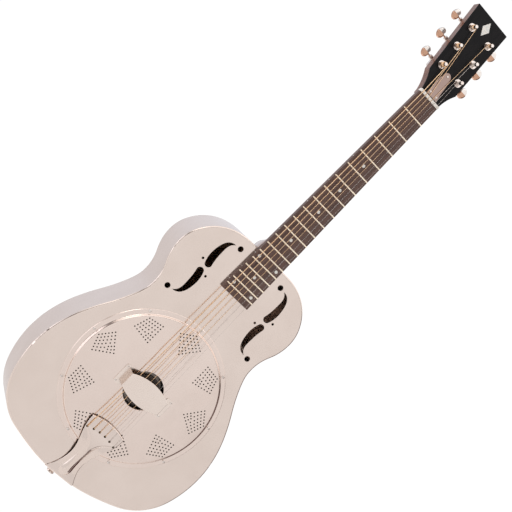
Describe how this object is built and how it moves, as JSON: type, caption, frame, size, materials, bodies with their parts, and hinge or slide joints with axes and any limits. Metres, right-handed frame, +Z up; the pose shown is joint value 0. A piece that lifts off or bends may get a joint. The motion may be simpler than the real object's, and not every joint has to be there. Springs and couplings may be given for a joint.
{
  "type": "resonator guitar",
  "caption": "Steel-bodied resonator guitar with a round perforated coverplate, slotted sound holes, handrest, tailpiece, bolt-on neck and geared tuners.",
  "frame": {"origin": "on the centre line at the front edge of the nut, level with the top of the fretboard", "axes": "+Z up the neck to the headstock, -Y out of the front of the body, +X to the treble side"},
  "size_m": [0.3692, 0.102, 1.0271],
  "materials": {
    "nickel_plate": "bright plated",
    "steel_inner": "plain",
    "spun_aluminium": "spun",
    "maple": "oiled",
    "mahogany": "satin lacquer",
    "rosewood": "oiled",
    "black_face": "gloss",
    "rod_cover_metal": "bright",
    "pearl": "pearl",
    "bone": "polished",
    "fret_wire": "polished",
    "tuner_nickel": "bright plated",
    "screw_nickel": "bright plated",
    "rod_steel": "plain",
    "plain_string": "bright",
    "wound_string": "bronze wound",
    "brass_ball": "bright"
  },
  "bodies": {
    "guitar": {"body_top": "nickel_plate", "body_back": "nickel_plate", "body_sides": "nickel_plate", "soundwell": "steel_inner", "resonator_cone": "spun_aluminium", "biscuit": "maple", "biscuit_screw": "screw_nickel", "saddle": "maple", "coverplate": "nickel_plate", "coverplate_screws": "screw_nickel", "handrest": "nickel_plate", "handrest_screws": "screw_nickel", "tailpiece": "nickel_plate", "strap_button": "screw_nickel", "strap_button_screw": "screw_nickel", "neck": "mahogany", "heel_cover": "nickel_plate", "headstock_face": "black_face", "headstock_inlay": "pearl", "truss_rod_cover": "rod_cover_metal", "truss_cover_screws": "screw_nickel", "truss_rod": "rod_steel", "truss_rod_nut": "rod_steel", "neck_stick": "maple", "neck_bolts": "steel_inner", "back_props": "maple", "fretboard": "rosewood", "fret_dots": "pearl", "side_dots": "pearl", "frets": "fret_wire", "nut": "bone", "tuner_housings": "tuner_nickel", "tuner_bushings": "tuner_nickel", "tuner_washers": "tuner_nickel", "tuner_screws": "screw_nickel", "string_1": "plain_string", "string_2": "plain_string", "string_3": "wound_string", "string_4": "wound_string", "string_5": "wound_string", "string_6": "wound_string", "ball_ends": "brass_ball"},
    "post_1": {"tuner_post_1": "tuner_nickel", "string_winding_1": "plain_string"},
    "button_1": {"tuner_button_1": "tuner_nickel"},
    "post_2": {"tuner_post_2": "tuner_nickel", "string_winding_2": "plain_string"},
    "button_2": {"tuner_button_2": "tuner_nickel"},
    "post_3": {"tuner_post_3": "tuner_nickel", "string_winding_3": "wound_string"},
    "button_3": {"tuner_button_3": "tuner_nickel"},
    "post_4": {"tuner_post_4": "tuner_nickel", "string_winding_4": "wound_string"},
    "button_4": {"tuner_button_4": "tuner_nickel"},
    "post_5": {"tuner_post_5": "tuner_nickel", "string_winding_5": "wound_string"},
    "button_5": {"tuner_button_5": "tuner_nickel"},
    "post_6": {"tuner_post_6": "tuner_nickel", "string_winding_6": "wound_string"},
    "button_6": {"tuner_button_6": "tuner_nickel"}
  },
  "joints": [
    {"name": "button_turn_1", "type": "hinge", "parent": "guitar", "child": "button_1", "pos_m": [0.048, 0.03488, 0.05619], "axis": [1, 0, 0], "continuous": true},
    {"name": "post_turn_1", "type": "hinge", "parent": "guitar", "child": "post_1", "pos_m": [0.0213, 0.0127, 0.05567], "axis": [0, -0.9744, 0.225], "continuous": true},
    {"name": "button_turn_2", "type": "hinge", "parent": "guitar", "child": "button_2", "pos_m": [0.048, 0.04422, 0.09663], "axis": [1, 0, 0], "continuous": true},
    {"name": "post_turn_2", "type": "hinge", "parent": "guitar", "child": "post_2", "pos_m": [0.0213, 0.02203, 0.0961], "axis": [0, -0.9744, 0.225], "continuous": true},
    {"name": "button_turn_3", "type": "hinge", "parent": "guitar", "child": "button_3", "pos_m": [0.048, 0.05355, 0.13706], "axis": [1, 0, 0], "continuous": true},
    {"name": "post_turn_3", "type": "hinge", "parent": "guitar", "child": "post_3", "pos_m": [0.0213, 0.03137, 0.13654], "axis": [0, -0.9744, 0.225], "continuous": true},
    {"name": "button_turn_4", "type": "hinge", "parent": "guitar", "child": "button_4", "pos_m": [-0.048, 0.05355, 0.13706], "axis": [1, 0, 0], "continuous": true},
    {"name": "post_turn_4", "type": "hinge", "parent": "guitar", "child": "post_4", "pos_m": [-0.0213, 0.03137, 0.13654], "axis": [0, -0.9744, 0.225], "continuous": true},
    {"name": "button_turn_5", "type": "hinge", "parent": "guitar", "child": "button_5", "pos_m": [-0.048, 0.04422, 0.09663], "axis": [1, 0, 0], "continuous": true},
    {"name": "post_turn_5", "type": "hinge", "parent": "guitar", "child": "post_5", "pos_m": [-0.0213, 0.02203, 0.0961], "axis": [0, -0.9744, 0.225], "continuous": true},
    {"name": "button_turn_6", "type": "hinge", "parent": "guitar", "child": "button_6", "pos_m": [-0.048, 0.03488, 0.05619], "axis": [1, 0, 0], "continuous": true},
    {"name": "post_turn_6", "type": "hinge", "parent": "guitar", "child": "post_6", "pos_m": [-0.0213, 0.0127, 0.05567], "axis": [0, -0.9744, 0.225], "continuous": true}
  ],
  "couplings": [
    {"joint": "post_turn_1", "follows": "button_turn_1", "ratio": 0.071429},
    {"joint": "post_turn_2", "follows": "button_turn_2", "ratio": 0.071429},
    {"joint": "post_turn_3", "follows": "button_turn_3", "ratio": 0.071429},
    {"joint": "post_turn_4", "follows": "button_turn_4", "ratio": -0.071429},
    {"joint": "post_turn_5", "follows": "button_turn_5", "ratio": -0.071429},
    {"joint": "post_turn_6", "follows": "button_turn_6", "ratio": -0.071429}
  ]
}
